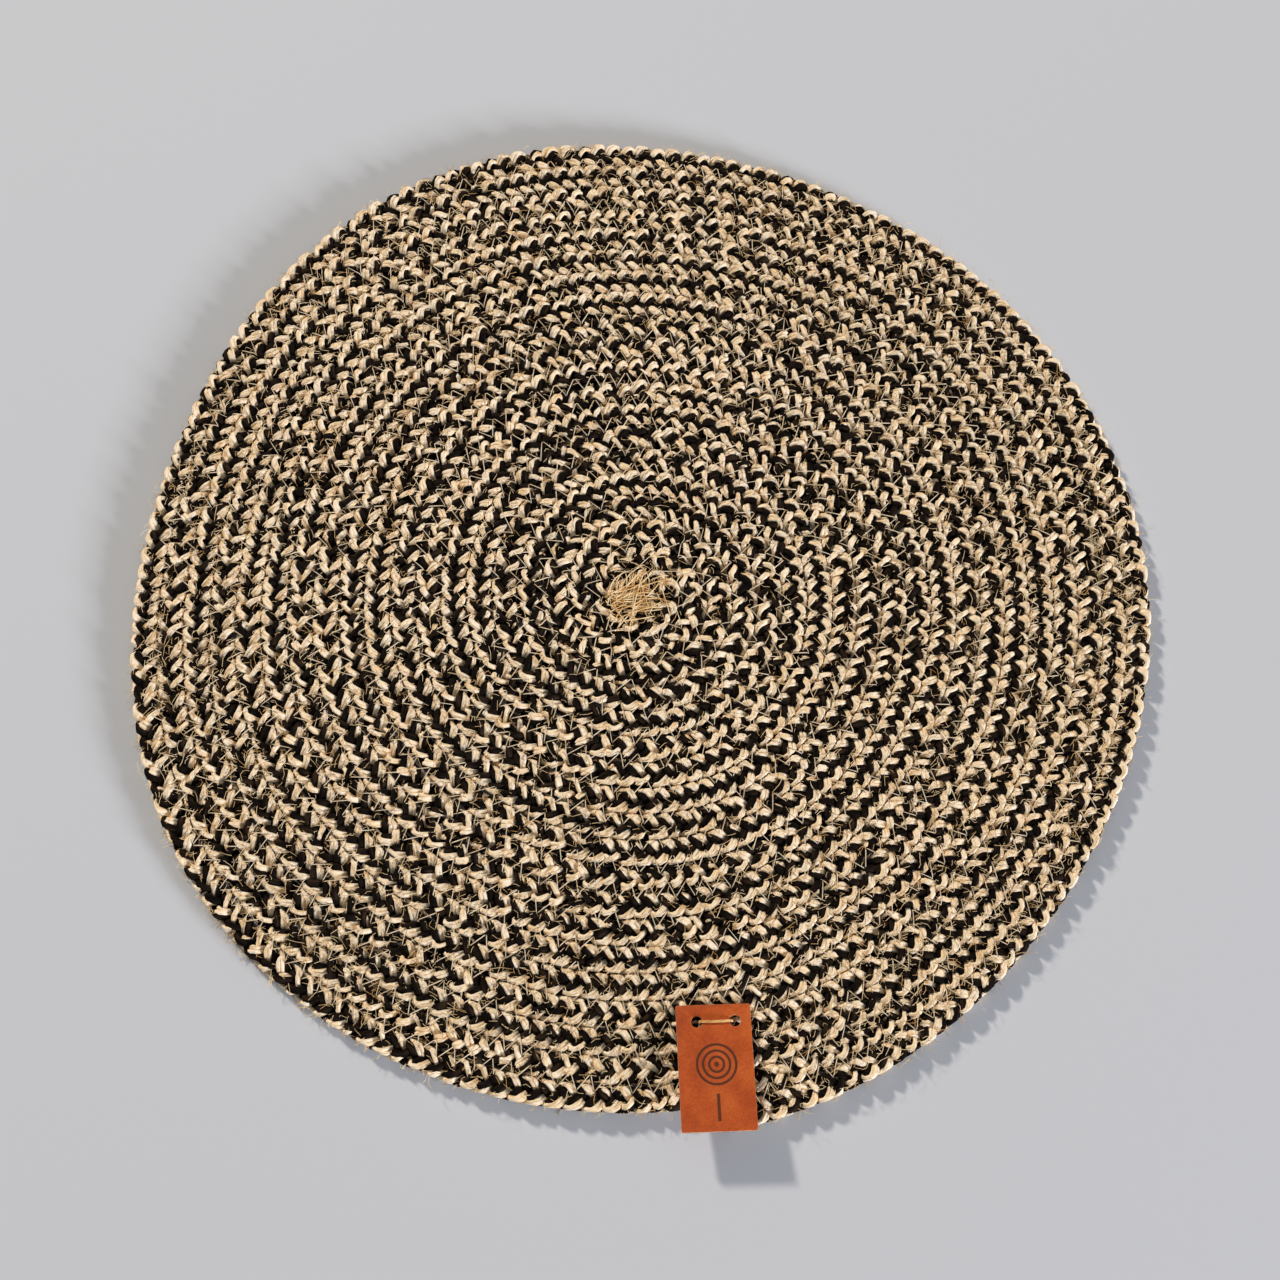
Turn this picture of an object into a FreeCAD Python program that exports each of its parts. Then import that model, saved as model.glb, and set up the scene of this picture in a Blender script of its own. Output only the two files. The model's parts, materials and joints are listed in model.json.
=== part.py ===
import FreeCAD, Part
import math
import os

# Round seat pad: one long three-strand plait wound flat from the middle outwards, with its rows
# sewn edge to edge by a zigzag seam, and a leather label tied on near the rim.
# Millimetres and degrees.  +Z is up and z = 0 is the surface that the pad lies on.  The plait
# grows clockwise, seen from above, out of the origin.

V = FreeCAD.Vector
ORIGIN = V(0, 0, 0)
UP = V(0, 0, 1)
RIGHT = V(1, 0, 0)

# --- driving dimensions ---------------------------------------------------------------------

TURNS = 20                # whole turns of the plait, from the middle to the rim
TAIL_DIRECTION = -83.0    # where the outer end of the plait lies, anticlockwise from +X

BLACK_D = 3.0             # dyed yarn, one in each strand
NATURAL_D = 2.0           # undyed yarn, two in each strand
YARN_GAP = 0.15           # clear space between neighbouring yarns
PRESSED = 0.15            # depth of the flat that sewing presses into the lowest yarns

THREAD_D = 0.5            # the zigzag's two threads
TWINE_D = 0.8             # the twine that ties the label on
THREAD_GAP = 0.07         # clear space beside a thread
TWINE_GAP = 0.15          # clear space between the twine and the rows that it passes between

TACK_RAYS = 10            # stitches that fan out over the start of the plait
TACK_REACH = 15.0         # from the middle to a stitch's end
TACK_WIDTH = 1.2
TACK_HEIGHT = 0.5
TACK_GAP = 0.1            # from the plait's top to the stitches

LABEL_WIDTH = 26.0
LABEL_LENGTH = 43.0
LABEL_THICKNESS = 1.2
LABEL_CORNER = 0.8        # radius of the corners
LABEL_ROWS_IN = 4         # rows between the label's seam and the rim
LABEL_LIFT = 7.0          # how far the free end has curled up from flat
LABEL_GAP = 0.3           # from the plait's top to the label's hinge edge
HOLE_D = 4.0              # the two punched holes
HOLE_SPACING = 13.3
HOLE_INSET = 5.8          # from the hinge edge to the holes
HOLE_SHIFT = 0.8          # from the label's middle line to the middle of the pair
HOLE_EASE = 0.55          # clear space from the twine to the edge of its hole
TWINE_BEND = 1.2          # radius of the twine's four bends

# --- worked out from them -------------------------------------------------------------------

COLUMN_PITCH = (BLACK_D + NATURAL_D) / 2 + YARN_GAP
ROW_HALF = COLUMN_PITCH + BLACK_D / 2
ROW_PITCH = 2 * ROW_HALF + TWINE_D + 2 * TWINE_GAP
THICKNESS = BLACK_D + 2 * NATURAL_D + 2 * YARN_GAP - PRESSED
HALF_TURNS = 2 * TURNS
SEAM_OFFSET = ROW_PITCH / 2
THREAD_SHIFT = (TWINE_D + THREAD_D) / 2 + THREAD_GAP

# A strand's three yarns lie in one column, and its dyed yarn is one layer higher than in the
# strand inside it.
COLUMNS = {"inner": -1, "middle": 0, "outer": 1}


# --- one tube -------------------------------------------------------------------------------

def point(x, z):
    return V(x, 0, z)


def round_section(x, z, diameter):
    """Two half circles that meet at the top and the bottom."""
    r = diameter / 2
    top, bottom = point(x, z + r), point(x, z - r)
    near = Part.Arc(top, point(x - r, z), bottom).toShape()
    far = Part.Arc(bottom, point(x + r, z), top).toShape()
    return [near, far]


def pressed_section(x, z, diameter, depth):
    """A circle whose lowest part is cut off level."""
    r = diameter / 2
    half = math.sqrt(r * r - (r - depth) ** 2)
    top = point(x, z + r)
    left, right = point(x - half, z - r + depth), point(x + half, z - r + depth)
    near = Part.Arc(top, point(x - r, z), left).toShape()
    flat = Part.LineSegment(left, right).toShape()
    far = Part.Arc(right, point(x + r, z), top).toShape()
    return [near, flat, far]


def tube(section, moves, closed=False):
    """The solid that a section leaves behind it on straight and round moves."""
    faces = []
    edges = section
    if not closed:
        faces.append(Part.Face(Part.Wire(edges)))
    for kind, *how in moves:
        if kind == "straight":
            faces += [e.extrude(how[0]) for e in edges]
            edges = [e.translated(how[0]) for e in edges]
        else:
            centre, axis, angle = how
            faces += [e.revolve(centre, axis, angle) for e in edges]
            edges = [e.rotated(centre, axis, angle) for e in edges]
    if not closed:
        faces.append(Part.Face(Part.Wire(edges)))
    shell = Part.Shell([f for piece in faces for f in piece.Faces])
    shell.sewShape()
    solid = Part.Solid(shell)
    if solid.Volume < 0:
        solid.reverse()
    return solid


# --- the spiral -----------------------------------------------------------------------------

def half_turn_centre(k):
    side = -1 if k % 2 == 0 else 1
    return V(side * ROW_PITCH / 4, 0, 0)


def spiral_moves(half_turns):
    """Clockwise half turns about two centres in turn, each a half row wider than the last."""
    return [("round", half_turn_centre(k), UP, -180) for k in range(half_turns)]


def row_start():
    """The row's middle line where the first half turn starts."""
    return half_turn_centre(0).x + ROW_PITCH / 2


def start_length(across, diameter):
    """How far a yarn runs straight before the first turn, to fill the eye of the spiral."""
    eye = ROW_PITCH - ROW_HALF - YARN_GAP
    reach = abs(across) + diameter / 2
    return math.sqrt(eye * eye - reach * reach)


def yarn(across, z, diameter, pressed):
    """A yarn that keeps its place in the row from the middle to the rim."""
    x = row_start() + across
    length = start_length(across, diameter)
    if pressed:
        section = pressed_section(x, z, diameter, PRESSED)
    else:
        section = round_section(x, z, diameter)
    section = [e.translated(V(0, length, 0)) for e in section]
    return tube(section, [("straight", V(0, -length, 0))] + spiral_moves(HALF_TURNS))


def strand(column):
    """The three yarns of one strand, by name, as a stack that rests on z = 0."""
    level = list(COLUMNS).index(column)
    across = COLUMNS[column] * COLUMN_PITCH
    naturals = iter(("lower", "upper"))
    yarns = {}
    bottom = -PRESSED
    for layer in range(3):
        if layer == level:
            name, diameter = f"black_yarn_{column}", BLACK_D
        else:
            name, diameter = f"natural_yarn_{column}_{next(naturals)}", NATURAL_D
        yarns[name] = yarn(across, bottom + diameter / 2, diameter, layer == 0)
        bottom += diameter + YARN_GAP
    return yarns


def seam_thread(across, z):
    """A zigzag thread, as the plain line that it follows between two rows."""
    section = round_section(row_start() + across, z, THREAD_D)
    return tube(section, spiral_moves(HALF_TURNS - 2))


def centre_tack():
    """The stitches that close the eye: bars that cross over the start of the plait."""
    z = THICKNESS + TACK_GAP
    bar = Part.makeBox(2 * TACK_REACH, TACK_WIDTH, TACK_HEIGHT, V(-TACK_REACH, -TACK_WIDTH / 2, z))
    step = 360.0 / TACK_RAYS
    bars = [bar.rotated(ORIGIN, UP, i * step) for i in range(TACK_RAYS // 2)]
    return bars[0].multiFuse(bars[1:]).removeSplitter()


# --- the label ------------------------------------------------------------------------------

SEAM_RADIUS = (TURNS - LABEL_ROWS_IN + 0.75) * ROW_PITCH
KNOT_SPOT = V(SEAM_RADIUS, 0, 0)


def on_pad(shape):
    """Turn a piece of the spiral so that the plait ends at the tail's direction."""
    return shape.rotated(ORIGIN, UP, TAIL_DIRECTION)


def label_hinge():
    """The middle of the label's top edge, which presses on the plait."""
    tail = math.radians(TAIL_DIRECTION)
    holes = V(SEAM_RADIUS * math.cos(tail), SEAM_RADIUS * math.sin(tail), 0)
    inset = HOLE_INSET * math.cos(math.radians(LABEL_LIFT))
    return holes + V(-HOLE_SHIFT, inset, THICKNESS + LABEL_GAP)


def label():
    """A leather tag that hangs out over the rim along -Y, lifted about its top edge."""
    size = (LABEL_WIDTH, LABEL_LENGTH, LABEL_THICKNESS)
    tag = Part.makeBox(*size, V(-LABEL_WIDTH / 2, -LABEL_LENGTH, 0))
    corners = [e for e in tag.Edges if abs(e.tangentAt(e.FirstParameter).z) > 0.99]
    tag = tag.makeFillet(LABEL_CORNER, corners)
    for side in (-1, 1):
        x = HOLE_SHIFT + side * HOLE_SPACING / 2
        hole = Part.makeCylinder(HOLE_D / 2, 3 * LABEL_THICKNESS, V(x, -HOLE_INSET, -LABEL_THICKNESS))
        tag = tag.cut(hole)
    tag.rotate(ORIGIN, RIGHT, -LABEL_LIFT)
    tag.translate(label_hinge())
    return tag


def label_twine():
    """A loop through both holes of the label and down the seam under it."""
    half = (HOLE_SPACING - HOLE_D + TWINE_D) / 2 + HOLE_EASE
    sag = half * half / (4 * SEAM_RADIUS)
    lift = math.radians(LABEL_LIFT)
    label_top = THICKNESS + LABEL_GAP + (HOLE_INSET + HOLE_D / 2) * math.sin(lift)
    high = label_top + LABEL_THICKNESS / math.cos(lift) + TWINE_GAP + TWINE_D / 2
    low = THREAD_D + 2 * THREAD_GAP + TWINE_D / 2
    r = TWINE_BEND
    x = SEAM_RADIUS - sag
    section = [e.translated(V(x, 0, 0)) for e in twine_section(half - r, high)]
    across, down = V(0, -2 * (half - r), 0), V(0, 0, low - high + 2 * r)
    moves = [
        ("straight", across),
        ("round", V(x, -(half - r), high - r), RIGHT, 90),
        ("straight", down),
        ("round", V(x, -(half - r), low + r), RIGHT, 90),
        ("straight", -across),
        ("round", V(x, half - r, low + r), RIGHT, 90),
        ("straight", -down),
        ("round", V(x, half - r, high - r), RIGHT, 90),
    ]
    return on_pad(tube(section, moves, closed=True))


def twine_section(y, z):
    """Two half circles about a point of the twine's upper run."""
    r = TWINE_D / 2
    top, bottom = V(0, y, z + r), V(0, y, z - r)
    near = Part.Arc(top, V(-r, y, z), bottom).toShape()
    far = Part.Arc(bottom, V(r, y, z), top).toShape()
    return [near, far]


# --- the whole pad --------------------------------------------------------------------------

def pieces():
    made = {}
    for column in COLUMNS:
        for name, shape in strand(column).items():
            made[name] = on_pad(shape)
    thread_low = THREAD_D / 2 + THREAD_GAP
    thread_high = THICKNESS - THREAD_D / 2
    made["seam_thread_top"] = on_pad(seam_thread(SEAM_OFFSET + THREAD_SHIFT, thread_high))
    made["seam_thread_bottom"] = on_pad(seam_thread(SEAM_OFFSET - THREAD_SHIFT, thread_low))
    made["centre_tack"] = on_pad(centre_tack())
    made["label"] = label()
    made["label_twine"] = label_twine()
    return made


os.makedirs("parts", exist_ok=True)
for name, shape in pieces().items():
    if not shape.isValid():
        raise ValueError(f"{name} isn't a valid solid")
    shape.exportStep(f"parts/{name}.step")
    print(f"{name}: {len(shape.Solids)} solid, {shape.Volume / 1000:.2f} cm3")

hinge = label_hinge()
print(f"row pitch {ROW_PITCH:.2f}, thickness {THICKNESS:.2f}, label seam radius {SEAM_RADIUS:.2f}")
print(f"label hinge at ({hinge.x:.3f}, {hinge.y:.3f}, {hinge.z:.3f})")
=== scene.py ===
# %% [markdown]
# # A coiled jute seat pad
#
# The real pad is one long three-strand plait, wound flat from the middle and sewn row to row by
# a zigzag seam, with a leather label tied on near its rim. Every yarn here is modelled, because
# the whole look of the pad is the way its yarns cross. First comes the frame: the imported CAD
# model, which fixes every size and place and which nothing here moves.

# %% Load the frame
import json
import math

import bmesh
import bpy
import numpy as np
from mathutils import Matrix, Vector


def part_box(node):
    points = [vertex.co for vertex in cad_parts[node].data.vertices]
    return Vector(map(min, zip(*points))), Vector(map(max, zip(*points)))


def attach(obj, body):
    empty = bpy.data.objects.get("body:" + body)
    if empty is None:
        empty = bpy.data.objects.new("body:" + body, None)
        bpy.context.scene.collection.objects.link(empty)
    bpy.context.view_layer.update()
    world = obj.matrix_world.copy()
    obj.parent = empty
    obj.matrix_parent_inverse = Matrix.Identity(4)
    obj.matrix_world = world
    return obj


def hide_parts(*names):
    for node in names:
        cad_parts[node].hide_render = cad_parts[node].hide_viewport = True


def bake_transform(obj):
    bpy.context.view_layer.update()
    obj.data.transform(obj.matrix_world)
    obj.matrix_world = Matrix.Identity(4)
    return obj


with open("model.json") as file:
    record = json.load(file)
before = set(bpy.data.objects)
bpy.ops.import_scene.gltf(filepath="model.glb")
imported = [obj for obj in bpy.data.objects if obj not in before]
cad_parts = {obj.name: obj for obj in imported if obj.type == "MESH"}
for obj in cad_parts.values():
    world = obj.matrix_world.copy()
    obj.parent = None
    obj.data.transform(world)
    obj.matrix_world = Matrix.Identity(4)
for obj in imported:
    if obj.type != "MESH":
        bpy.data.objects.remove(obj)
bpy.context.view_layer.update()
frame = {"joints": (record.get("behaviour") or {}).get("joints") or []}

# %% [markdown]
# ## Sizes
#
# A script that repeats sizes by hand drifts away from its model, so the heights and the label's
# place are read from the frame. The few sizes that a box can't tell, such as the width of a row,
# are named here in millimetres and turned to Blender's metres once.

# %% Read the sizes
MM = 0.001
PAD_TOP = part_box("black_yarn_outer")[1].z
LABEL_LOW, LABEL_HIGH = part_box("label")
TURNS = 20
ROW_PITCH = 9.4 * MM
TAIL_DIRECTION = math.radians(-83)
HALF_TURNS = 2 * TURNS
MIDDLE = PAD_TOP / 2          # halfway up the pad
print(f"pad {PAD_TOP / MM:.2f} mm thick, label {(LABEL_HIGH - LABEL_LOW).x / MM:.1f} mm wide")

# %% [markdown]
# ## The coil
#
# A maker starts a coil by bending the plait round its own end. Half circles about two centres in
# turn, each a half row wider than the last, give the same line, and it stays smooth where they
# join. `row_place` turns a distance along the row and a distance across it into a place on the
# pad, so that everything after it can be made as if the plait were straight. An array of rings
# would be easier, but the rings would never join, and this pad is one length.

# %% Lay out the coil
turn_radius = np.arange(1, HALF_TURNS + 1) * ROW_PITCH / 2
turn_end = np.cumsum(turn_radius * math.pi)
turn_start = turn_end - turn_radius * math.pi
PLAIT_LENGTH = float(turn_end[-1])
RIM_RADIUS = float(turn_radius[-1]) + ROW_PITCH / 2
SEAM_END = float(turn_end[-3])      # the last turn has no row outside it to be sewn to

# A hand-guided coil is never a true circle. Each wave is (bumps round the rim, height in mm,
# direction of a bump in degrees), and it fades out towards the middle.
RIM_WAVES = [(0, -1.3, 0), (1, 3.4, -156), (2, 2.0, 101), (3, 2.4, -12), (4, 1.6, 95), (5, 0.5, -72)]


def uneven(x, y):
    """Push places on a true coil out or in, as the hand-guided rows lie."""
    reach = np.hypot(x, y)
    angle = np.arctan2(y, x)
    push = sum(h * MM * np.cos(n * angle - math.radians(d)) for n, h, d in RIM_WAVES)
    grow = 1 + push * reach / RIM_RADIUS ** 2
    return x * grow, y * grow


def row_place(along, across):
    """x and y of places along the row's middle line, and across to its outer side.

    Before the start, the plait's end runs straight into the eye of the coil.
    """
    k = np.clip(np.searchsorted(turn_end, along), 0, HALF_TURNS - 1)
    odd = k % 2
    angle = odd * np.pi - (along - turn_start[k]) / turn_radius[k]
    reach = turn_radius[k] + across
    x = (2 * odd - 1) * ROW_PITCH / 4 + reach * np.cos(angle)
    y = reach * np.sin(angle)
    before = along < 0
    x = np.where(before, ROW_PITCH / 4 + across, x)
    y = np.where(before, -along, y)
    c, s = math.cos(TAIL_DIRECTION), math.sin(TAIL_DIRECTION)
    return uneven(x * c - y * s, x * s + y * c)


print(f"{TURNS} turns, {PLAIT_LENGTH:.2f} m of plait, rim at {RIM_RADIUS / MM:.0f} mm")

# %% [markdown]
# ## Helpers for yarn and thread
#
# A yarn is a long tube. A bevelled curve makes such a tube from its middle line, and turning it
# into a mesh keeps a UV map that runs along the tube and round it, which the twist needs later.
# `wander` gives hand work its unevenness: a few waves of random length, from seeded dice, so
# that every run makes the same pad.

# %% Make the helpers


def wander(along, wave_length, size, dice):
    """A smooth, uneven value along the plait, about zero and about as large as size."""
    waves = 5
    total = np.zeros_like(along)
    for _ in range(waves):
        length = wave_length * dice.uniform(0.5, 1.7)
        total += np.sin(along / length * 2 * np.pi + dice.uniform(0, 2 * np.pi))
    return size * total / math.sqrt(waves / 2)


def tube_curve(name, lines, radius, sides, thickness=None):
    """A curve with one tube for each line of points. Sides is 4, 6 or 8."""
    curve = bpy.data.curves.new(name, "CURVE")
    curve.dimensions = "3D"
    curve.bevel_depth = radius
    curve.bevel_resolution = sides // 2 - 2
    curve.use_fill_caps = True
    for points in lines:
        spline = curve.splines.new("POLY")
        spline.points.add(len(points) - 1)
        four = np.column_stack([points, np.ones(len(points))])
        spline.points.foreach_set("co", four.astype("f4").ravel())
        if thickness is not None:
            spline.points.foreach_set("radius", thickness.astype("f4"))
    return curve


def add_piece(name, mesh, body, replaced=()):
    """Link a finished mesh and say what it rides on and what it stands for."""
    piece = bpy.data.objects.new(name, mesh)
    bpy.context.scene.collection.objects.link(piece)
    if body:
        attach(piece, body)
    if replaced:
        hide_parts(*replaced)
    return piece


def curve_to_mesh(name, curve):
    """The mesh of a curve's tubes, shaded smooth."""
    holder = bpy.data.objects.new(name + "_line", curve)
    mesh = bpy.data.meshes.new_from_object(holder)
    mesh.name = name
    bpy.data.objects.remove(holder)
    bpy.data.curves.remove(curve)
    mesh.shade_smooth()
    return mesh


print("helpers for uneven values, tubes and pieces are ready")

# %% [markdown]
# ## The plait
#
# In a three-strand plait each strand swings from side to side and goes over one neighbour and
# under the other on each swing. Seen across the row that path is a figure of eight: one sine for
# the swing, and one twice as fast for over and under. The three strands are a third of a swing
# apart. Each strand holds a fat black yarn and two thinner natural ones side by side, like a
# ribbon, and the ribbon turns over where it folds back at the row's edges. So every leaf of the
# plait shows a black patch or a natural hook. The ribbons also roll slowly as they are plaited,
# each by itself and all three a little together, so that the patches look scattered in some
# places and run in pale and dark rings in others.
#
# One modelled leaf could be repeated along a path, but then every leaf would be the same, and
# here no two are. A few sums give the path of any yarn, and a change to one number changes the
# whole plait.

# %% Draw a yarn's path
LEAF = 6.0 * MM               # one strand's leaf to the next, along the row
SWING = 3 * LEAF              # a strand's whole swing, there and back
STEP = 1.0 * MM               # between a yarn's rings
BLACK_R = 1.37 * MM
NATURAL_R = 0.85 * MM
EDGE = ROW_PITCH / 2 - 0.10 * MM
FLATTEN = 0.45                # how far a ribbon that stands on edge is squeezed
FOLD = 1.2                    # how sharply a ribbon turns over at the edges
FATTEST = 1.1                 # a yarn's thickest place, as a share of its usual thickness
FLOOR_GAP = 0.04 * MM         # from the lowest yarn to the floor

# Each yarn's place in its ribbon, from the ribbon's middle, and its radius.
RIBBON = {
    "black_yarn": (-1.13 * MM, BLACK_R),
    "natural_yarn_lower": (0.85 * MM, NATURAL_R),
    "natural_yarn_upper": (2.20 * MM, NATURAL_R),
}

rng = np.random.default_rng(20)
along = np.arange(-4 * MM, PLAIT_LENGTH, STEP)
hand = wander(along, 90 * MM, 0.22, rng)            # the plaiter's hands speed up and slow down
usual_roll = wander(along, 600 * MM, 1.0, rng)      # how far all three ribbons have rolled
OWN_ROLL = (0.0, 0.8, -0.8)                         # and each strand's own share, in radians


def plait_yarn(strand, offset, radius, roll, dice):
    """The middle line of one yarn of one strand, as points on the pad.

    Offset is the yarn's place in its ribbon, and roll is how far the ribbon has turned there.
    """
    phase = along / SWING * 2 * np.pi + strand * 2 * np.pi / 3 + hand
    swing = EDGE - radius
    lift = MIDDLE - radius * FATTEST - FLOOR_GAP
    heading = np.arctan(swing * 2 * np.pi / SWING * np.cos(phase))
    turn = phase - FOLD * np.sin(2 * phase) / 2 + roll
    side = offset * np.cos(turn)
    slack = wander(along, 14 * MM, 0.12 * MM, dice)
    across = swing * np.sin(phase) + side * np.cos(heading) + slack
    across = np.clip(across, -swing, swing)
    height = lift * np.sin(2 * phase) + FLATTEN * offset * np.sin(turn)
    height += wander(along, 11 * MM, 0.10 * MM, dice)
    height = np.clip(height, -lift, lift)
    x, y = row_place(along - side * np.sin(heading), across)
    return np.column_stack([x, y, MIDDLE + height])


print(f"a leaf every {LEAF / MM:.0f} mm, so {PLAIT_LENGTH / LEAF:.0f} leaves")

# %% [markdown]
# ## Nine yarns
#
# Each yarn is one tube along its path. Spun yarn is never even, so a tube grows thicker and
# thinner as it goes, both quickly and slowly, but never so thick that it would stand proud of
# the row. Each one stands for the yarn of the same name in the frame.

# %% Plait the yarns
COLUMNS = ("inner", "middle", "outer")
yarns = {"black": [], "natural": []}
for strand, column in enumerate(COLUMNS):
    roll = OWN_ROLL[strand] + usual_roll + wander(along, 170 * MM, 0.8, rng)
    for kind, (offset, radius) in RIBBON.items():
        colour, _, level = kind.partition("_yarn")
        name = f"{colour}_yarn_{column}{level}"
        points = plait_yarn(strand, offset, radius, roll, rng)
        thickness = 1 + wander(along, 9 * MM, 0.05, rng) + wander(along, 500 * MM, 0.06, rng)
        thickness = np.minimum(thickness, FATTEST)
        curve = tube_curve(name + "_plaited", [points], radius, 6, thickness)
        mesh = curve_to_mesh(name + "_plaited", curve)
        piece = add_piece(name + "_plaited", mesh, "pad", [name])
        yarns[colour].append(piece)
print(sum(len(group) for group in yarns.values()), "yarns,", len(along), "rings each")

# %% [markdown]
# ## The zigzag seam
#
# A machine's zigzag joins each row to the next. Its needle goes down in one row, then in the
# other, so the thread lies over the groove as straight legs and dives into the jute at each end.
# A leg needs only its two ends and the two holes, so a polyline is enough, made thin and
# four-sided because there are thousands of legs. The bobbin's thread does the same underneath.
# A picture of a zigzag on the plait would be lighter, but it would lie flat over the bumps.

# %% Sew the rows together
THREAD_R = 0.17 * MM
STITCH_WIDTH = 6.0 * MM
STITCH_LENGTH = 3.25 * MM     # along the seam, from one hole to the next
STITCH_LEAN = 0.16            # how far every second hole lies ahead of the middle
HOLE_DEPTH = 1.5 * MM
BEND = 0.13                   # the share of a leg that it takes to come up out of its hole
NEEDLE_SIDE = PAD_TOP + 0.05 * MM      # the heights at which the two threads lie
BOBBIN_SIDE = 0.30 * MM
# How uneven the stitches' lengths, widths and heights are, in mm.
LENGTH_SLIP, WIDTH_SLIP, HEIGHT_SLIP = 0.3, 0.25, 0.08


def seam_line(surface, into, dice):
    """One thread's line, on the surface at that height, with its holes going into the pad.

    The feed of the machine wanders a little, and so does the needle's swing.
    """
    count = int(SEAM_END / STITCH_LENGTH)
    order = np.arange(count)
    odd = order % 2
    s = (order + odd * 2 * STITCH_LEAN) * STITCH_LENGTH
    s = s + wander(s, 60 * MM, 0.5 * MM, dice) + dice.uniform(-LENGTH_SLIP, LENGTH_SLIP, count) * MM
    drift = wander(s, 150 * MM, 0.35 * MM, dice)
    half = STITCH_WIDTH / 2 + dice.uniform(-WIDTH_SLIP, WIDTH_SLIP, count) * MM
    across = ROW_PITCH / 2 + (2 * odd - 1) * half + drift
    rows = []
    for share, depth in ((0.0, HOLE_DEPTH), (BEND, 0.0), (1 - BEND, 0.0)):
        x, y = row_place(s[:-1] + share * np.diff(s), across[:-1] + share * np.diff(across))
        z = surface + into * depth + dice.uniform(-HEIGHT_SLIP, HEIGHT_SLIP, count - 1) * MM
        rows.append(np.column_stack([x, y, z]))
    return np.stack(rows, axis=1).reshape(-1, 3)


# The needle's thread lies on top and dives down. The bobbin's lies underneath and dives up.
seams = []
for side, surface, into in (("top", NEEDLE_SIDE, -1), ("bottom", BOBBIN_SIDE, 1)):
    points = seam_line(surface, into, rng)
    name = f"seam_thread_{side}"
    mesh = curve_to_mesh(name + "_zigzag", tube_curve(name, [points], THREAD_R, 4))
    seams.append(add_piece(name + "_zigzag", mesh, "pad", [name]))
    print(name, len(points) // 3, "stitches")

# %% [markdown]
# ## The eye of the coil
#
# The start of the plait would spring open, so it is closed by a bunch of stitches in plain
# jute thread, drawn tight across the eye. Real ones have no pattern, and seeded random chords
# look more natural here than any star. They run from bunch to bunch, because hand stitches share
# their holes, and each bows a little where it rides over the plait.

# %% Close the eye
TACK_R = 0.19 * MM
TACK_STITCHES = 60
TACK_REACH = 14.5             # no stitch ends farther out than this, mm
TACK_POINTS = 7               # along one stitch
TACK_DIVE = 1.6 * MM          # how deep a stitch's end goes into the plait
TACK_DIP = 0.3 * MM           # how far it has sunk by the next point
# Where the stitches bunch up: (x, y, spread) in mm, and how many of a hundred end there.
BUNCHES = [(-10.5, -3.0, 2.2, 40), (-3.5, 8.0, 3.2, 20), (-9.5, -12.0, 2.4, 16),
           (5.0, -4.0, 4.0, 14), (3.0, 9.0, 3.6, 10)]


def stitch_end(dice):
    """A place near one of the bunches."""
    chances = np.array([bunch[3] for bunch in BUNCHES]) / 100
    x, y, spread, _ = BUNCHES[dice.choice(len(BUNCHES), p=chances)]
    place = np.array([dice.normal(x, spread), dice.normal(y, spread)])
    return np.clip(place, -TACK_REACH, TACK_REACH) * MM


def tack_stitch(dice):
    """One stitch over the eye, from hole to hole, bowed a little as it rides over the plait."""
    start, end = stitch_end(dice), stitch_end(dice)
    t = np.linspace(0, 1, TACK_POINTS)[:, None]
    along_stitch = end - start
    bow = dice.normal(0, 0.12) * np.array([-along_stitch[1], along_stitch[0]])
    flat = start + t * along_stitch + 4 * t * (1 - t) * bow
    z = np.full(TACK_POINTS, PAD_TOP + dice.uniform(0.0, 0.7) * MM)
    z[[0, -1]] -= TACK_DIVE
    z[[1, -2]] -= TACK_DIP
    return np.column_stack([flat, z])


stitches = [tack_stitch(rng) for _ in range(TACK_STITCHES)]
mesh = curve_to_mesh("centre_tack_stitches", tube_curve("tack", stitches, TACK_R, 4))
tack = add_piece("centre_tack_stitches", mesh, "pad", ["centre_tack"])
print(TACK_STITCHES, "stitches close the eye")

# %% [markdown]
# ## Stray fibres
#
# Jute sheds. Single fibres stand off the yarns all over and blur the rim, and without them the
# yarns look like plastic cord. Each is a bent hair of three points, so that it has few faces.
# Blender's hair would do this too, but hair isn't a mesh, and these have to be part of the
# finished model. A real fibre is about 0.05 mm thick, too fine to show from where the pad is
# seen whole, so they are drawn coarser.

# %% Shape a hair
FIBRE_R = 0.085 * MM
HAIR_BEND = 0.6               # how far a hair wanders from one point to the next, mm


def hair(s, across, z, push, dice):
    """Three points of a hair that leaves the plait and bends back.

    Push is how far it reaches along the row, outwards and up, in mm.
    """
    bend = dice.normal(0, HAIR_BEND, (3, 2)).cumsum(axis=0) * MM
    t = np.linspace(0, 1, 3)
    rise = np.sin(t * np.pi * 0.75)
    x, y = row_place(s + t * push[0] * MM + bend[:, 0], across + t * push[1] * MM + bend[:, 1])
    return np.column_stack([x, y, np.maximum(z + rise * push[2] * MM, FIBRE_R)])


def under_label(points):
    """Whether a hair has a point under the label, which presses those hairs flat."""
    beside = (points[:, 0] > LABEL_LOW.x - MM) & (points[:, 0] < LABEL_HIGH.x + MM)
    return bool((beside & (points[:, 1] < LABEL_HIGH.y + MM)).any())


print(f"hairs {2 * FIBRE_R / MM:.2f} mm thick")

# %% [markdown]
# ## Where the fibres are
#
# Most hairs lie about the top of the rows. A share of them stand out from the last turn, which is
# what makes the rim look soft, and more fill the grooves, where the needle pulled them up. The
# dice say where each one starts and which way it goes, so that no row of hairs repeats.

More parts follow.
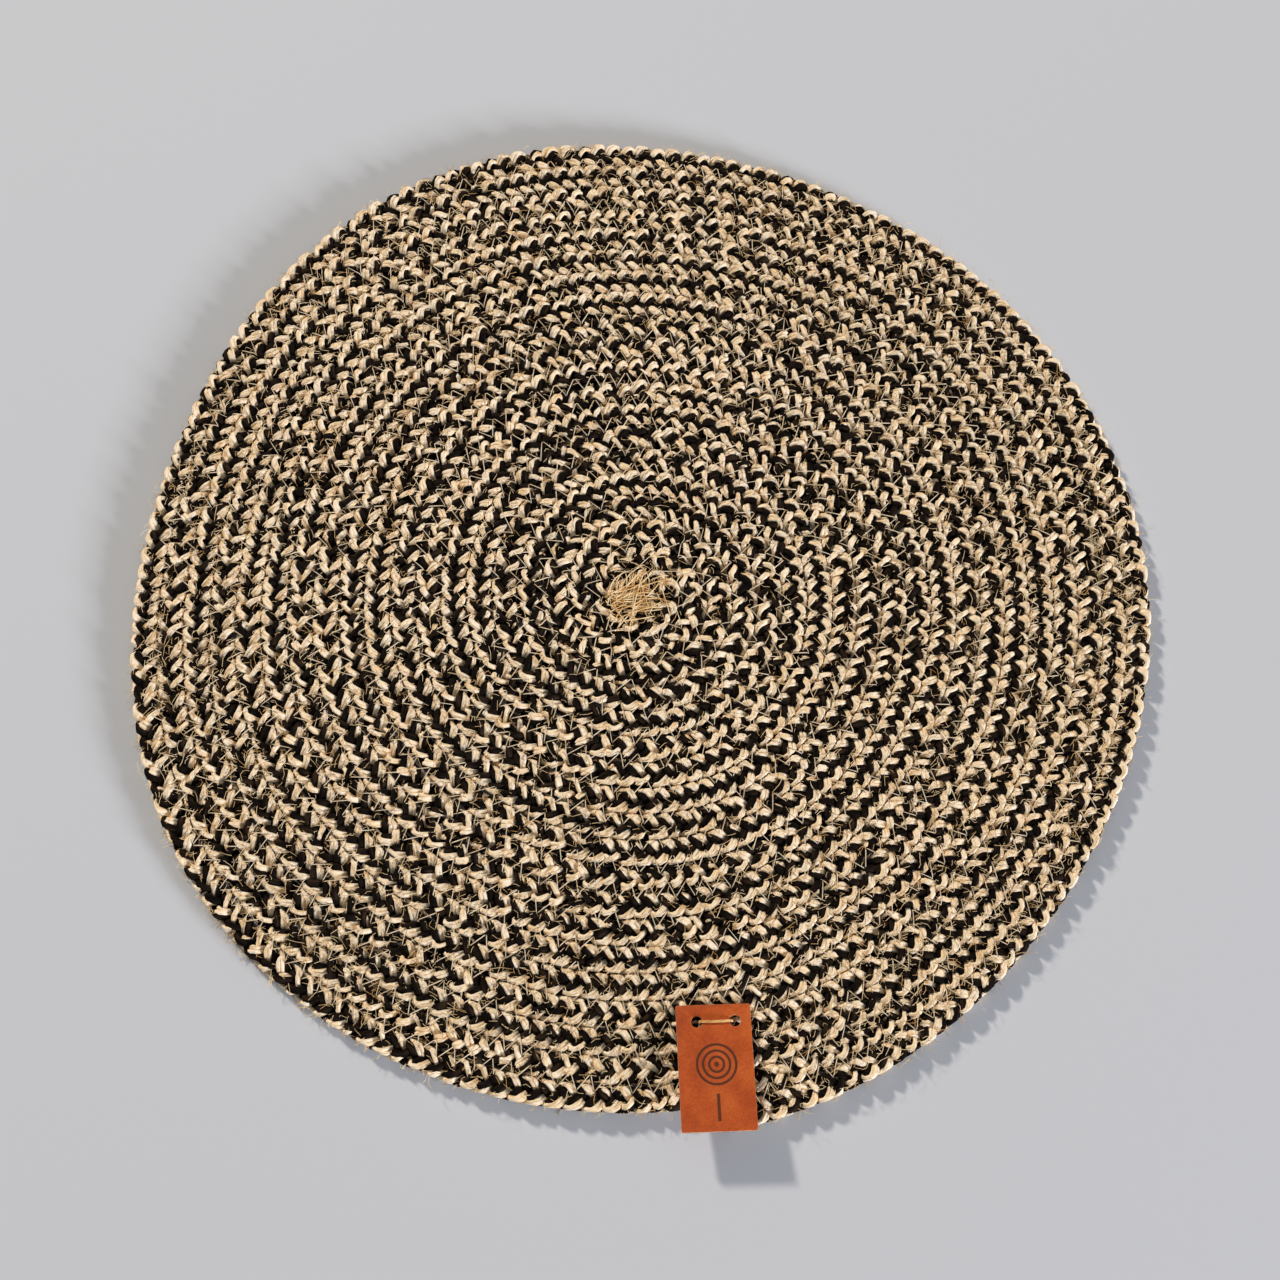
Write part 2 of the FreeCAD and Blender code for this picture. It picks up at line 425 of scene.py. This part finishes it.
# %% Scatter the fibres
FIBRES = 9700
SEAM_FIBRES = 9400
RIM_SHARE = 0.12              # of the stray hairs, those that stand out from the rim
EYE_SHARE = 0.10              # and those that crowd towards the eye
RIM_FOOT = 3.6 * MM           # from the last row's middle line to where its hairs start
HAIR_FOOT = 4.7               # the farthest that a hair starts from its row's middle line, mm
TOP_FOOT = PAD_TOP - 0.9 * MM
GROOVE_FOOT = PAD_TOP - 2.0 * MM


def stray_hair(dice):
    """A hair at the rim, or anywhere on top and rather more often near the eye."""
    where = dice.random()
    if where < RIM_SHARE:
        s = dice.uniform(SEAM_END, PLAIT_LENGTH)
        push = (dice.normal(0, 1.2), dice.uniform(0.8, 2.2), dice.normal(0, 0.5))
        return hair(s, RIM_FOOT, dice.uniform(1.0, 6.0) * MM, push, dice)
    s = PLAIT_LENGTH * dice.random() ** (0.7 if where < 1 - EYE_SHARE else 4)
    push = (dice.normal(0, 2.2), dice.normal(0, 1.5), dice.uniform(0.6, 1.5))
    return hair(s, dice.uniform(-HAIR_FOOT, HAIR_FOOT) * MM, TOP_FOOT, push, dice)


def seam_hair(dice):
    """A hair that the needle pulled up out of the groove between two rows."""
    s = SEAM_END * dice.random() ** 0.6
    across = ROW_PITCH / 2 + dice.normal(0, 0.9) * MM
    push = (dice.normal(0, 1.6), dice.normal(0, 1.6), dice.uniform(1.0, 2.4))
    return hair(s, across, GROOVE_FOOT, push, dice)


KINDS = {"stray_fibres": (stray_hair, FIBRES), "seam_fibres": (seam_hair, SEAM_FIBRES)}
fibres = []
for name, (grow, count) in KINDS.items():
    hairs = [grow(rng) for _ in range(count)]
    hairs = [points for points in hairs if not under_label(points)]
    mesh = curve_to_mesh(name, tube_curve(name, hairs, FIBRE_R, 4))
    fibres.append(add_piece(name, mesh, "pad"))
    print(name, len(hairs), "hairs,", len(mesh.polygons), "faces")

# %% [markdown]
# ## The leather label
#
# The label is a piece of thick leather, cut with a knife and punched twice. A flat curve with an
# outline and two round holes fills itself, and its own extrude and bevel give the thickness and
# the slightly worn edges. A box with two holes cut out of it would do as well, but its edges
# would need bevels of their own, and here the outline says everything.

# %% Draw the label's outline
LABEL_WIDTH = 26.0 * MM
LABEL_LENGTH = 43.0 * MM
LABEL_CORNER = 0.8 * MM
HOLE_R = 2.0 * MM
HOLE_INSET = 5.8 * MM
HOLE_SHIFT = 0.8 * MM         # the pair of holes is punched a little right of the middle
HOLE_SPACING = 13.3 * MM
HOLES_X = [HOLE_SHIFT - HOLE_SPACING / 2, HOLE_SHIFT + HOLE_SPACING / 2]


def round_line(centre, radius, start, sweep, steps):
    """Points on an arc, for an outline."""
    angles = np.radians(start + sweep * np.linspace(0, 1, steps))
    return [(centre[0] + radius * math.cos(a), centre[1] + radius * math.sin(a)) for a in angles]


def label_outline():
    """The corners of the label as four small arcs, clockwise from its top right."""
    side = LABEL_WIDTH / 2 - LABEL_CORNER
    top, bottom = -LABEL_CORNER, LABEL_CORNER - LABEL_LENGTH
    points = []
    for x, y, start in ((side, top, 90), (side, bottom, 0), (-side, bottom, -90), (-side, top, -180)):
        points += round_line((x, y), LABEL_CORNER, start, -90, 6)
    return points


def flat_curve(name, outlines, thickness, edge):
    """A filled flat curve with thickness and rounded edges, inside its outlines."""
    curve = bpy.data.curves.new(name, "CURVE")
    curve.dimensions = "2D"
    curve.fill_mode = "BOTH"
    curve.extrude = thickness / 2 - edge
    curve.bevel_depth = edge
    curve.bevel_resolution = 2
    curve.offset = -edge
    for outline in outlines:
        spline = curve.splines.new("POLY")
        spline.points.add(len(outline) - 1)
        for point, (x, y) in zip(spline.points, outline):
            point.co = (x, y, 0, 1)
        spline.use_cyclic_u = True
    return curve


holes = [round_line((x, -HOLE_INSET), HOLE_R, 0, 345, 24) for x in HOLES_X]
outlines = [label_outline(), *holes]
print("label outline of", len(outlines[0]), "points and", len(holes), "holes")

# %% [markdown]
# ## The label's curl
#
# Leather that is held at one edge curls up at the other. The flat label is cut across into bands
# with bisecting planes, each point is raised by the square of its distance from where the curl
# starts, and the whole is turned up and put where the frame's label is. A bend modifier would
# curl it evenly, and couldn't make one corner rise more than the other, as leather does.

# %% Cut and curl the label
HINGE = Vector(frame["joints"][0]["pos_m"])
LIFT = math.radians(7)        # how far the label has turned up about its hinge edge
LABEL_PLACE = Matrix.Translation(HINGE) @ Matrix.Rotation(-LIFT, 4, "X")
LABEL_THICK = 1.2 * MM
WORN = 0.14 * MM              # the rounding of the cut edges
CURL = 0.8 * MM               # how far the free end curls up
CURL_START = 9 * MM           # from the hinge edge, clear of the holes
CURL_SLANT = 0.35             # how much more the right corner rises than the left
CURL_END = 2 * MM             # the last cut is this far from the free end
BANDS = 16
SHARP = math.radians(35)      # edges that turn more than this stay crisp
MERGE = 0.005 * MM


def cut_label():
    """The label's mesh, in its place on the pad."""
    mesh = curve_to_mesh("label_leather", flat_curve("label_outline", outlines, LABEL_THICK, WORN))
    bm = bmesh.new()
    bm.from_mesh(mesh)
    bmesh.ops.remove_doubles(bm, verts=bm.verts, dist=MERGE)
    for y in np.linspace(-CURL_START, -LABEL_LENGTH + CURL_END, BANDS):
        everything = bm.verts[:] + bm.edges[:] + bm.faces[:]
        bmesh.ops.bisect_plane(bm, geom=everything, plane_co=(0, y, 0), plane_no=(0, 1, 0))
    for v in bm.verts:
        share = max(0.0, (-v.co.y - CURL_START) / (LABEL_LENGTH - CURL_START))
        v.co.z += LABEL_THICK / 2 + CURL * share ** 2 * (1 + CURL_SLANT * v.co.x / LABEL_WIDTH)
    bmesh.ops.triangulate(bm, faces=[f for f in bm.faces if len(f.verts) > 4])
    bmesh.ops.recalc_face_normals(bm, faces=bm.faces)
    for f in bm.faces:
        f.material_index = int(abs(f.normal.z) < 0.8)      # 0 is the skin and 1 the cut edge
    bmesh.ops.transform(bm, matrix=LABEL_PLACE, verts=bm.verts)
    bm.to_mesh(mesh)
    bm.free()
    return mesh


mesh = cut_label()
mesh.set_sharp_from_angle(angle=SHARP)
label = add_piece("label_leather", mesh, "label", ["label"])
print("label", len(mesh.polygons), "faces")

# %% [markdown]
# ## The label's twine
#
# One waxed twine comes up through a hole, crosses the front and goes down through the other. A
# few guiding points are enough for so short a loop. They are given on the flat label, where its
# sizes are easy to read, and moved to where the label lies.

# %% Lead the twine through the holes
TWINE_R = 0.46 * MM
TWINE_HALF = 5.3 * MM         # half of the loop's width, just inside the holes
TWINE_GAP = 0.05 * MM         # between the twine and the leather's face
LEG_FOOT = 2.4 * MM           # the heights of a leg's two lowest guides, in the seam
LEG_KNEE = 5.0 * MM


def on_label(x, y, z):
    """A place given on the flat label, moved to where the label lies."""
    return LABEL_PLACE @ Vector((x, y, z))


def twine_line():
    """The twine's visible loop, from the seam up, across the label's front and down again."""
    above = LABEL_THICK + TWINE_R + TWINE_GAP
    line = []
    for side in (-1, 1):
        x = HOLE_SHIFT + side * TWINE_HALF
        top = on_label(x, -HOLE_INSET, above)
        turn = on_label(x + side * 0.45 * MM, -HOLE_INSET, LABEL_THICK * 0.8)
        hole = on_label(x + side * 0.35 * MM, -HOLE_INSET, -0.3 * MM)
        foot = Vector((hole.x, hole.y, LEG_FOOT))
        knee = Vector((hole.x, hole.y, LEG_KNEE))
        leg = [foot, knee, hole, turn, top]
        if side > 0:
            line.append(on_label(HOLE_SHIFT, -HOLE_INSET - 0.2 * MM, above))
            leg.reverse()
        line += leg
    return line


twine_guides = twine_line()
print(len(twine_guides), "guides from foot to foot")

# %% [markdown]
# ## Twine and knot
#
# A NURBS curve runs smoothly near its guides, as a stiff waxed twine does, where a polyline would
# have corners. The loop has to stay with the pad at its foot and with the label where it crosses
# it, so it rides on neither body. The knot that ties it off underneath is an overhand one, and a
# few sines added together give its path.

# %% Tie the label on
KNOT_SIZE = 0.75 * MM
KNOT_HEIGHT = 1.25 * MM       # of its middle, above the floor
KNOT_WAVE = 0.55 * MM         # how far it goes over and under that


def smooth_line(points, steps):
    """Points along one smooth curve that is guided by a few."""
    curve = bpy.data.curves.new("guide", "CURVE")
    curve.dimensions = "3D"
    spline = curve.splines.new("NURBS")
    spline.points.add(len(points) - 1)
    for guide, point in zip(spline.points, points):
        guide.co = (*point, 1)
    spline.order_u = 3
    spline.use_endpoint_u = True
    spline.resolution_u = steps
    holder = bpy.data.objects.new("guide", curve)
    mesh = bpy.data.meshes.new_from_object(holder)
    line = np.array([v.co for v in mesh.vertices])
    bpy.data.objects.remove(holder)
    bpy.data.curves.remove(curve)
    bpy.data.meshes.remove(mesh)
    return line


def knot_line():
    """A small overhand knot, pressed flat into the groove under the pad, below the label."""
    t = np.linspace(0, 2 * np.pi, 49)
    foot = on_label(HOLE_SHIFT, -HOLE_INSET, 0)
    x = foot.x + KNOT_SIZE * (np.sin(t) + 2 * np.sin(2 * t))
    y = foot.y + KNOT_SIZE * (np.cos(t) - 2 * np.cos(2 * t)) * 0.7
    z = KNOT_HEIGHT - KNOT_WAVE * np.sin(3 * t)
    return np.column_stack([x, y, z])


line = smooth_line(twine_guides, 8)
mesh = curve_to_mesh("label_twine_loop", tube_curve("twine", [line], TWINE_R, 8))
twine = add_piece("label_twine_loop", mesh, None, ["label_twine"])
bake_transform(twine)
mesh = curve_to_mesh("label_twine_knot", tube_curve("knot", [knot_line()], TWINE_R, 6))
knot = add_piece("label_twine_knot", mesh, "pad")
print(f"twine {np.linalg.norm(np.diff(line, axis=0), axis=1).sum() / MM:.0f} mm long in view")

# %% [markdown]
# ## Finishes
#
# Every colour is written as an sRGB hex value, as a colour picker gives it, and one function
# turns it to the linear values that shaders use. One more function adds a node and fills in its
# inputs, so that each finish below reads as a list of what it is made of. Images would need to
# be painted and stretched over twelve metres of yarn. Patterns need only their real sizes.

# %% Make the finish helpers


def linear(hex_colour):
    """An sRGB hex colour as linear red, green, blue and alpha."""
    parts = [int(hex_colour[i:i + 2], 16) / 255 for i in (1, 3, 5)]
    return [p / 12.92 if p <= 0.04045 else ((p + 0.055) / 1.055) ** 2.4 for p in parts] + [1.0]


def start_finish(name, **constants):
    """A new material and its shader, with the values that are the same all over.

    Each value is named as its socket is, in small letters: specular_ior_level=0.3.
    """
    finish = bpy.data.materials.new(name)
    finish.use_nodes = True
    shader = finish.node_tree.nodes["Principled BSDF"]
    for socket, value in constants.items():
        shader.inputs[socket.replace("_", " ").title().replace("Ior", "IOR")].default_value = value
    return finish, shader


def add_node(finish, kind, inputs=None, steps=(), **settings):
    """A node with its settings made and its inputs filled or linked.

    Steps are a colour ramp's, in order, as (place, hex colour).
    """
    node = finish.node_tree.nodes.new(kind)
    for name, value in settings.items():
        setattr(node, name, value)
    for i, (place, hex_colour) in enumerate(steps):
        ramp = node.color_ramp.elements
        step = ramp[i] if i < len(ramp) else ramp.new(place)
        step.position = place
        step.color = linear(hex_colour)
    for socket, value in (inputs or {}).items():
        if isinstance(value, bpy.types.NodeSocket):
            finish.node_tree.links.new(value, node.inputs[socket])
        else:
            node.inputs[socket].default_value = value
    return node


print("mid grey, #808080, is", round(linear("#808080")[0], 3), "in linear light")

# %% [markdown]
# ## Jute yarn
#
# Jute is a bast fibre with a dull silky shine. A few hundred fibres are twisted to a ply, and
# plies are twisted to a yarn, so the yarn shows slanting bands, and fine streaks within them.
# The UV map says how far along and how far round a place is, which is all that a twist needs.
# A shade that drifts over centimetres comes from the object's own coordinates. The twist could
# be modelled, but nine yarns of 12 m would take millions of faces, and the eye needs only the
# bands, with painted shade where the grooves between plies fall, and a slight bump from it.
# Single fibres are too fine to show, so the streaks are drawn coarser than real ones.

# %% Make a yarn finish
PLIES = 2                     # twisted together to make a yarn
STREAK_LENGTH = 5 * MM
STREAKS_ROUND = 9             # side by side, once round a yarn
CLOUD_SIZE = 7 * MM           # how far apart paler and darker places lie
ROUNDNESS = 0.45              # below 1, so that a ply is round and the groove beside it narrow
# Painted shade: the grooves between plies are darkened in the yarn's colour.
PAINTED_GROOVE_SHADE = 0.35              # how much the grooves darken, beside the fibres and the drift


def yarn_finish(name, length, twist, shades, depth, **constants):
    """Twisted yarn: bands of plies with painted shade in their grooves, streaks of fibre and a shade that
    drifts.

    Twist is the length of yarn in which a ply goes once round it.
    """
    finish, shader = start_finish(name, **constants)
    uv = add_node(finish, "ShaderNodeTexCoord").outputs["UV"]
    coil = add_node(finish, "ShaderNodeMapping", {"Vector": uv, "Scale": (length / twist, PLIES, 1)})
    split = add_node(finish, "ShaderNodeSeparateXYZ", {0: coil.outputs[0]})
    turns = add_node(finish, "ShaderNodeMath", {0: split.outputs[0], 1: split.outputs[1]}, operation="ADD")
    ply = add_node(finish, "ShaderNodeMath", {0: turns.outputs[0], 1: 0.5}, operation="PINGPONG")
    round_ply = add_node(finish, "ShaderNodeMath", {0: ply.outputs[0], 1: ROUNDNESS}, operation="POWER")
    streak_scale = (length / STREAK_LENGTH, STREAKS_ROUND, 1)
    fibre_map = add_node(finish, "ShaderNodeMapping", {"Vector": uv, "Scale": streak_scale})
    streak = add_node(finish, "ShaderNodeTexNoise",
                      {"Vector": fibre_map.outputs[0], "Scale": 1.0, "Detail": 2.0})
    place = add_node(finish, "ShaderNodeTexCoord").outputs["Object"]
    drift = add_node(finish, "ShaderNodeTexNoise", {"Vector": place, "Scale": 1 / CLOUD_SIZE, "Detail": 3.0})
    mixed = add_node(finish, "ShaderNodeMix", {"Factor": 0.5, "A": streak.outputs[0], "B": drift.outputs[0]})
    # The grooves between plies darken the colour here, which is painted shade, added to the streaks and
    # drift of real tone.
    painted_groove_shade_and_tone = add_node(finish, "ShaderNodeMath", {0: round_ply.outputs[0], 1: PAINTED_GROOVE_SHADE, 2: mixed.outputs[0]},
                      operation="MULTIPLY_ADD")
    ramp = add_node(finish, "ShaderNodeValToRGB", {"Fac": painted_groove_shade_and_tone.outputs[0]}, steps=shades)
    height = add_node(finish, "ShaderNodeMath", {0: streak.outputs[0], 1: 0.5, 2: round_ply.outputs[0]},
                      operation="MULTIPLY_ADD")
    bump = add_node(finish, "ShaderNodeBump",
                    {"Height": height.outputs[0], "Strength": 0.6, "Distance": depth})
    finish.node_tree.links.new(ramp.outputs[0], shader.inputs["Base Color"])
    finish.node_tree.links.new(bump.outputs[0], shader.inputs["Normal"])
    return finish


print(f"streaks {STREAK_LENGTH / MM:.0f} mm long, {STREAKS_ROUND} round a yarn of {PLIES} plies")

# %% [markdown]
# ## Natural and black yarn
#
# Both colours are the same fibre, so they share one finish with different shades. The black yarn
# is thicker and more loosely twisted. Its dye fills the fibres and takes away nearly all of their
# shine, so its specular level is low.

# %% Finish the yarns
NATURAL_TWIST = 4.5 * MM
BLACK_TWIST = 6.5 * MM
# Undyed jute: straw to pale gold, with a soft sheen from its flat fibres.
NATURAL_SHADES = [(0.28, "#aa7d48"), (0.45, "#e0b67f"), (0.58, "#f5d6a8"), (0.74, "#ffeed2")]
natural_jute = yarn_finish("undyed_twisted_jute", PLAIT_LENGTH, NATURAL_TWIST, NATURAL_SHADES,
                           depth=0.30 * MM, roughness=0.72, specular_ior_level=0.3)
# Black jute: dyed through, with a few browner fibres where the dye took less.
BLACK_SHADES = [(0.30, "#070505"), (0.55, "#100c0a"), (0.72, "#1c1510"), (0.90, "#3b2c20")]
black_jute = yarn_finish("black_dyed_twisted_jute", PLAIT_LENGTH, BLACK_TWIST, BLACK_SHADES,
                         depth=0.35 * MM, roughness=0.8, specular_ior_level=0.04)
for piece in yarns["natural"]:
    piece.data.materials.append(natural_jute)
for piece in yarns["black"]:
    piece.data.materials.append(black_jute)
print("yarn finishes on", len(yarns["natural"]), "natural and", len(yarns["black"]), "black yarns")

# %% [markdown]
# ## Thread, twine and fibres
#
# The zigzag is fine spun thread, paler than the jute. The stitches in the eye are plain jute
# thread and the label's twine is waxed, and both are more golden than the plait. Loose fibres
# are the colour of the yarn they came from. All but the twine are too thin to show their twist,
# so a shade that drifts along them is all that they get.

# %% Make the thread finishes


def plain_thread(name, dark, pale, grain, **constants):
    """Fine thread, too thin to show its twist: only its shade drifts, every grain or so."""
    finish, shader = start_finish(name, **constants)
    place = add_node(finish, "ShaderNodeTexCoord").outputs["Object"]
    drift = add_node(finish, "ShaderNodeTexNoise", {"Vector": place, "Scale": 1 / grain, "Detail": 2.0})
    ramp = add_node(finish, "ShaderNodeValToRGB", {"Fac": drift.outputs[0]},
                    steps=[(0.35, dark), (0.65, pale)])
    finish.node_tree.links.new(ramp.outputs[0], shader.inputs["Base Color"])
    return finish


# Spun thread: fine and evenly twisted, so it is pale all along, with a soft gleam.
sewing_thread = plain_thread("spun_sewing_thread", "#c8ad84", "#f0dfc2", 4 * MM, roughness=0.55)
# Plain jute thread: neither dyed nor waxed, so it is golden and as dull as the yarns.
tack_thread = plain_thread("jute_tacking_thread", "#d9a963", "#ffe6b6", 3 * MM, roughness=0.7)
# Single fibres: light comes through them, so they look paler than the yarn that they left.
loose_fibre = plain_thread("loose_jute_fibre", "#c99d5e", "#f6dfb2", 5 * MM, roughness=0.6)
# Waxed twine: the wax lays its fibres down, so it gleams a little, and its grooves carry painted shade.
TWINE_LENGTH = 30 * MM
TWINE_TWIST = 2.6 * MM
TWINE_SHADES = [(0.3, "#8a5c28"), (0.6, "#d9a45c"), (0.9, "#f0cd8e")]
waxed_twine = yarn_finish("waxed_jute_twine", TWINE_LENGTH, TWINE_TWIST, TWINE_SHADES,
                          depth=0.18 * MM, roughness=0.5, sheen_weight=0.1)
for piece in seams:
    piece.data.materials.append(sewing_thread)
tack.data.materials.append(tack_thread)
for piece in fibres:
    piece.data.materials.append(loose_fibre)
for piece in (twine, knot):
    piece.data.materials.append(waxed_twine)
print("four finishes, on the threads, the stitches, the fibres and the twine")

# %% [markdown]
# ## The printed mark
#
# The mark on the label is a plain one of rings and a bar, printed in dark brown. It could be
# modelled as raised lines or drawn in an image. Here a few sums on the place of a point say
# whether it is inked: the rings come from its distance to their centre, split into equal bands.
# The sums are in millimetres on the flat label, so that the mark can be measured out.

# %% Print the mark
RING_CENTRE = (0.2, -20.5, 0)  # on the flat label, mm from the middle of its top edge
RING_STEP = 2.1               # from one ring to the next, mm
RING_REACH = 8.3              # no ring is printed farther out than this, mm
RING_INKED = 0.42             # the share of each step that is ink
BAR_CENTRE = (0.2, -35.0, 0)
BAR_HALF_WIDTH = 0.55
BAR_HALF_LENGTH = 4.6


def ring_ink(finish, flat):
    """1 where the rings are printed and 0 elsewhere, from places on the label in mm."""
    level = add_node(finish, "ShaderNodeVectorMath", {0: flat, 1: (1, 1, 0)}, operation="MULTIPLY")
    reach = add_node(finish, "ShaderNodeVectorMath", {0: level.outputs[0], 1: RING_CENTRE},
                     operation="DISTANCE").outputs["Value"]
    rings = add_node(finish, "ShaderNodeMath", {0: reach, 1: RING_STEP}, operation="DIVIDE")
    band = add_node(finish, "ShaderNodeMath", {0: rings.outputs[0]}, operation="FRACT")
    inked = add_node(finish, "ShaderNodeMath", {0: band.outputs[0], 1: RING_INKED}, operation="LESS_THAN")
    inside = add_node(finish, "ShaderNodeMath", {0: reach, 1: RING_REACH}, operation="LESS_THAN")
    return add_node(finish, "ShaderNodeMath", {0: inked.outputs[0], 1: inside.outputs[0]},
                    operation="MULTIPLY").outputs[0]


def bar_ink(finish, flat):
    """1 where the bar is printed and 0 elsewhere."""
    away = add_node(finish, "ShaderNodeVectorMath", {0: flat, 1: BAR_CENTRE}, operation="SUBTRACT")
    away = add_node(finish, "ShaderNodeVectorMath", {0: away.outputs[0]}, operation="ABSOLUTE")
    split = add_node(finish, "ShaderNodeSeparateXYZ", {0: away.outputs[0]})
    width = add_node(finish, "ShaderNodeMath", {0: split.outputs[0], 1: BAR_HALF_WIDTH},
                     operation="LESS_THAN")
    length = add_node(finish, "ShaderNodeMath", {0: split.outputs[1], 1: BAR_HALF_LENGTH},
                      operation="LESS_THAN")
    return add_node(finish, "ShaderNodeMath", {0: width.outputs[0], 1: length.outputs[0]},
                    operation="MULTIPLY").outputs[0]


def printed_mark(finish, flat):
    """1 where the mark is printed on the label's front and 0 elsewhere."""
    either = add_node(finish, "ShaderNodeMath", {0: ring_ink(finish, flat), 1: bar_ink(finish, flat)},
                      operation="MAXIMUM")
    height = add_node(finish, "ShaderNodeSeparateXYZ", {0: flat}).outputs[2]
    front = add_node(finish, "ShaderNodeMath", {0: height, 1: LABEL_THICK / MM / 2},
                     operation="GREATER_THAN")
    return add_node(finish, "ShaderNodeMath", {0: either.outputs[0], 1: front.outputs[0]},
                    operation="MULTIPLY").outputs[0]


print(f"a mark {2 * RING_REACH:.1f} mm wide, of rings {RING_STEP} mm apart")

# %% [markdown]
# ## Leather
#
# The label is vegetable-tanned cowhide, dyed a rusty tan and lightly waxed, so it has a low
# gleam. Its grain is a net of tiny cells, its colour clouds over a centimetre or so, and the cut
# edges are paler, because the dye lies near the skin. A Mapping node turns the object's
# coordinates back to the flat label's own, in millimetres. Real pores are finer than the cells
# here, and would be lost at this size, so they are drawn coarser.

# %% Make the leather finish
CLOUD_MM = 9
GRAIN_MM = 0.45
PORE_MM = 0.8
INK_COVER = 0.88              # how well the ink covers the leather
INK_SUNK = 0.6                # how deep the print presses in, as a share of the bump
CREASE = 0.12                 # how far from a cell's edge its crease ends
COLOUR_A, COLOUR_B, COLOUR_OUT = 6, 7, 2      # a Mix node's sockets when it mixes colours


def leather_finish():
    """Waxed vegetable-tanned leather with a printed mark: a low gleam over a fine net of cells."""
    finish, shader = start_finish("vegetable_tanned_leather", roughness=0.48, specular_ior_level=0.35,
                                  coat_weight=0.04, coat_roughness=0.35)
    place = add_node(finish, "ShaderNodeTexCoord").outputs["Object"]
    flat = add_node(finish, "ShaderNodeMapping",
                    {"Vector": place, "Location": HINGE, "Rotation": (-LIFT, 0, 0), "Scale": (MM, MM, MM)},
                    vector_type="TEXTURE").outputs[0]
    cloud = add_node(finish, "ShaderNodeTexNoise", {"Vector": flat, "Scale": 1 / CLOUD_MM, "Detail": 4.0})
    grain = add_node(finish, "ShaderNodeTexVoronoi", {"Vector": flat, "Scale": 1 / GRAIN_MM},
                     feature="DISTANCE_TO_EDGE")
    pore = add_node(finish, "ShaderNodeTexNoise", {"Vector": flat, "Scale": 1 / PORE_MM, "Detail": 3.0})
    tan = add_node(finish, "ShaderNodeValToRGB", {"Fac": cloud.outputs[0]},
                   steps=[(0.3, "#ac4714"), (0.5, "#bf541b"), (0.72, "#cd6325")])
    fleck = add_node(finish, "ShaderNodeValToRGB", {"Fac": pore.outputs[0]},
                     steps=[(0.35, "#d8d0c8"), (0.6, "#ffffff")])
    hide = add_node(finish, "ShaderNodeMix",
                    {"Factor": 0.6, COLOUR_A: tan.outputs[0], COLOUR_B: fleck.outputs[0]},
                    data_type="RGBA", blend_type="MULTIPLY").outputs[COLOUR_OUT]
    mark = printed_mark(finish, flat)
    ink = add_node(finish, "ShaderNodeMath", {0: mark, 1: INK_COVER}, operation="MULTIPLY")
    printed = add_node(finish, "ShaderNodeMix",
                       {"Factor": ink.outputs[0], COLOUR_A: hide, COLOUR_B: linear("#43240f")},
                       data_type="RGBA")
    cells = add_node(finish, "ShaderNodeMath", {0: grain.outputs[0], 1: CREASE}, operation="MINIMUM")
    height = add_node(finish, "ShaderNodeMath", {0: mark, 1: -INK_SUNK, 2: cells.outputs[0]},
                      operation="MULTIPLY_ADD")
    bump = add_node(finish, "ShaderNodeBump",
                    {"Height": height.outputs[0], "Strength": 0.35, "Distance": 0.12 * MM})
    finish.node_tree.links.new(printed.outputs[COLOUR_OUT], shader.inputs["Base Color"])
    finish.node_tree.links.new(bump.outputs[0], shader.inputs["Normal"])
    return finish


# A raw edge: the pale, dull inside of the hide, where the dye didn't reach.
cut_edge = plain_thread("raw_cut_leather", "#a9652f", "#dba271", 1.5 * MM, roughness=0.85)
label.data.materials.append(leather_finish())
label.data.materials.append(cut_edge)
print("label finishes", [finish.name for finish in label.data.materials])

# %% [markdown]
# ## Floor and light
#
# The pad lies on a plain pale floor. The key light stands to the back left, so the rim and the
# label throw their shadow to the front right, and it has some size, so that the shadow's edge is
# soft. A wider and lower light fills from the other side, and the world lights the rest. Both
# lights stand well away, because a near one leaves a bright pool on the floor. Jute looks flat
# and grey under a film-like view, so the plain one is set.

# %% Light the pad
FLOOR_HALF = 6.0


def add_floor():
    """A pale floor, larger than the camera sees, with matt paint that shows only shadows."""
    bm = bmesh.new()
    bmesh.ops.create_grid(bm, x_segments=1, y_segments=1, size=FLOOR_HALF)
    mesh = bpy.data.meshes.new("floor")
    bm.to_mesh(mesh)
    bm.free()
    floor = bpy.data.objects.new("floor", mesh)
    bpy.context.scene.collection.objects.link(floor)
    finish, _ = start_finish("matt_floor_paint", base_color=linear("#c8cbd0"), roughness=0.9)
    mesh.materials.append(finish)


def add_light(name, place, size, power, colour):
    """A square light that faces the pad."""
    light = bpy.data.lights.new(name, "AREA")
    light.size = size
    light.energy = power
    light.color = linear(colour)[:3]
    lamp = bpy.data.objects.new(name, light)
    lamp.location = place
    lamp.rotation_euler = Vector(place).to_track_quat("Z", "Y").to_euler()
    bpy.context.scene.collection.objects.link(lamp)


add_floor()
add_light("key", (-3.01, 3.80, 3.17), size=0.47, power=272, colour="#fff4e6")
add_light("fill", (4.18, -3.63, 1.58), size=1.1, power=368, colour="#f6f7ff")
world = bpy.data.worlds.new("studio")
bpy.context.scene.world = world
world.use_nodes = True
world.node_tree.nodes["Background"].inputs["Color"].default_value = linear("#eef1f5")
world.node_tree.nodes["Background"].inputs["Strength"].default_value = 0.27
bpy.context.scene.view_settings.view_transform = "Standard"
print("a floor, two lights and a pale world")

# %% [markdown]
# ## The camera
#
# The pad is seen from above and a little from the label's side, by a camera that is tipped and
# turned a few degrees, as one held by hand is. Its lens is close to what the eye sees.

# %% Place the camera
camera_data = bpy.data.cameras.new("camera")
camera_data.sensor_width = 36.0
camera_data.lens = 49.8
camera = bpy.data.objects.new("camera", camera_data)
camera.location = (-35.4 * MM, -193.8 * MM, 633.1 * MM)
camera.rotation_euler = [math.radians(a) for a in (15.77, -2.47, -2.04)]
bpy.context.scene.collection.objects.link(camera)
bpy.context.scene.camera = camera
print(f"camera {camera.location.z / MM:.0f} mm up, lens {camera_data.lens} mm")
